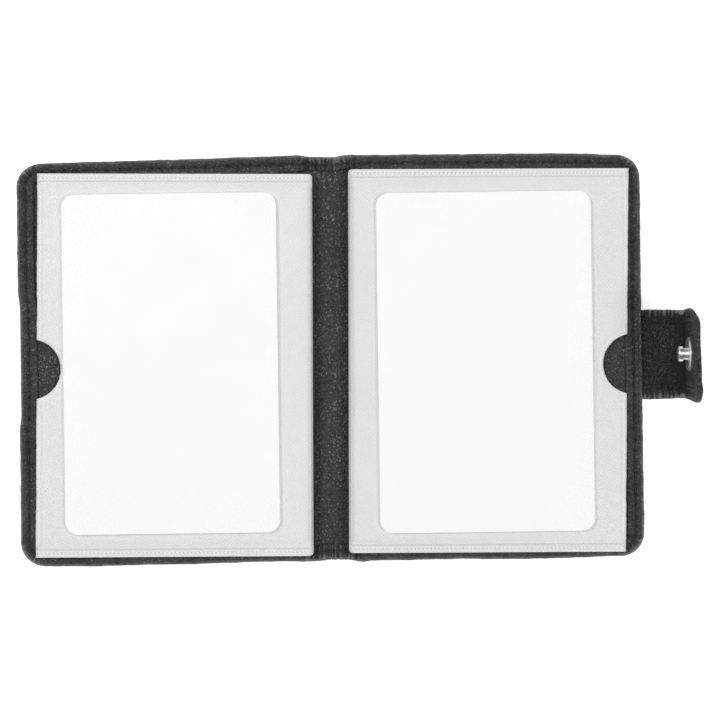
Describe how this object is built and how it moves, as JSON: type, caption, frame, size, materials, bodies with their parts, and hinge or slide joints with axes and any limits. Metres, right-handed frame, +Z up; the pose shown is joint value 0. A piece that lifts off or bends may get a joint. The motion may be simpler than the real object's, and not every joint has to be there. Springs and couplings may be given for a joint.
{
  "type": "coin album",
  "caption": "Leather bifold pocket album with a frosted sleeve for a card-format coin on each inside face and a snap strap.",
  "frame": {"origin": "middle of the spine's outer face, on the surface that the open album lies on", "axes": "+X from the spine to the fore edge of the back cover, where the strap is; +Y to the head of the album; +Z up from the surface"},
  "size_m": [0.17, 0.1018, 0.0215],
  "materials": {
    "outer_leather": "pebbled grain, satin",
    "lining_leather": "fine grain, satin",
    "strap_leather": "fine pebbled grain, satin",
    "thread": "twisted black thread",
    "stiffening_board": "grey board, matt",
    "strap_core": "pressed fibre, matt",
    "sleeve_film": "frosted film with a fine twill emboss",
    "sleeve_backing": "frosted, matt",
    "weld": "frosted, knurled by the welding tool",
    "mounting_tape": "matt",
    "card_stock": "blank, satin white",
    "snap_metal": "bright plated",
    "spring_steel": "plain"
  },
  "bodies": {
    "back_cover": {"back_cover_leather": "outer_leather", "back_board": "stiffening_board", "back_lining": "lining_leather", "back_cover_stitching": "thread", "back_sleeve_backing": "sleeve_backing", "back_sleeve_film": "sleeve_film", "back_sleeve_welds": "weld", "back_sleeve_tape": "mounting_tape", "strap_tongue": "strap_leather"},
    "spine": {"spine_leather": "outer_leather", "spine_lining": "lining_leather", "spine_stitching": "thread"},
    "front_cover": {"front_cover_leather": "outer_leather", "front_board": "stiffening_board", "front_lining": "lining_leather", "front_cover_stitching": "thread", "front_sleeve_backing": "sleeve_backing", "front_sleeve_film": "sleeve_film", "front_sleeve_welds": "weld", "front_sleeve_tape": "mounting_tape", "snap_socket": "snap_metal", "snap_spring": "spring_steel", "snap_eyelet": "snap_metal"},
    "strap_root": {"strap_root_leather": "strap_leather", "strap_root_core": "strap_core", "strap_root_lining": "lining_leather", "strap_root_stitching": "thread"},
    "strap_tip": {"strap_tip_leather": "strap_leather", "strap_tip_core": "strap_core", "strap_tip_lining": "lining_leather", "strap_tip_stitching": "thread", "snap_stud": "snap_metal", "snap_cap": "snap_metal"},
    "front_card": {"front_card": "card_stock"},
    "back_card": {"back_card": "card_stock"}
  },
  "joints": [
    {"name": "spine_fold", "type": "hinge", "parent": "back_cover", "child": "spine", "pos_m": [0.004, 0, 0.002], "axis": [0, 1, 0], "range_deg": [0, 90]},
    {"name": "cover_fold", "type": "hinge", "parent": "spine", "child": "front_cover", "pos_m": [-0.004, 0, 0.002], "axis": [0, 1, 0], "range_deg": [0, 90]},
    {"name": "strap_root_bend", "type": "hinge", "parent": "back_cover", "child": "strap_root", "pos_m": [0.07858, 0, 0.0023], "axis": [0, -1, 0], "range_deg": [0, 90]},
    {"name": "strap_tip_bend", "type": "hinge", "parent": "strap_root", "child": "strap_tip", "pos_m": [0.08953, 0, 0.00175], "axis": [0, -1, 0], "range_deg": [-85, 0]},
    {"name": "front_card_slide", "type": "slide", "parent": "front_cover", "child": "front_card", "axis": [1, 0, 0], "range_m": [-0.055, 0]},
    {"name": "back_card_slide", "type": "slide", "parent": "back_cover", "child": "back_card", "axis": [-1, 0, 0], "range_m": [-0.022, 0]}
  ]
}
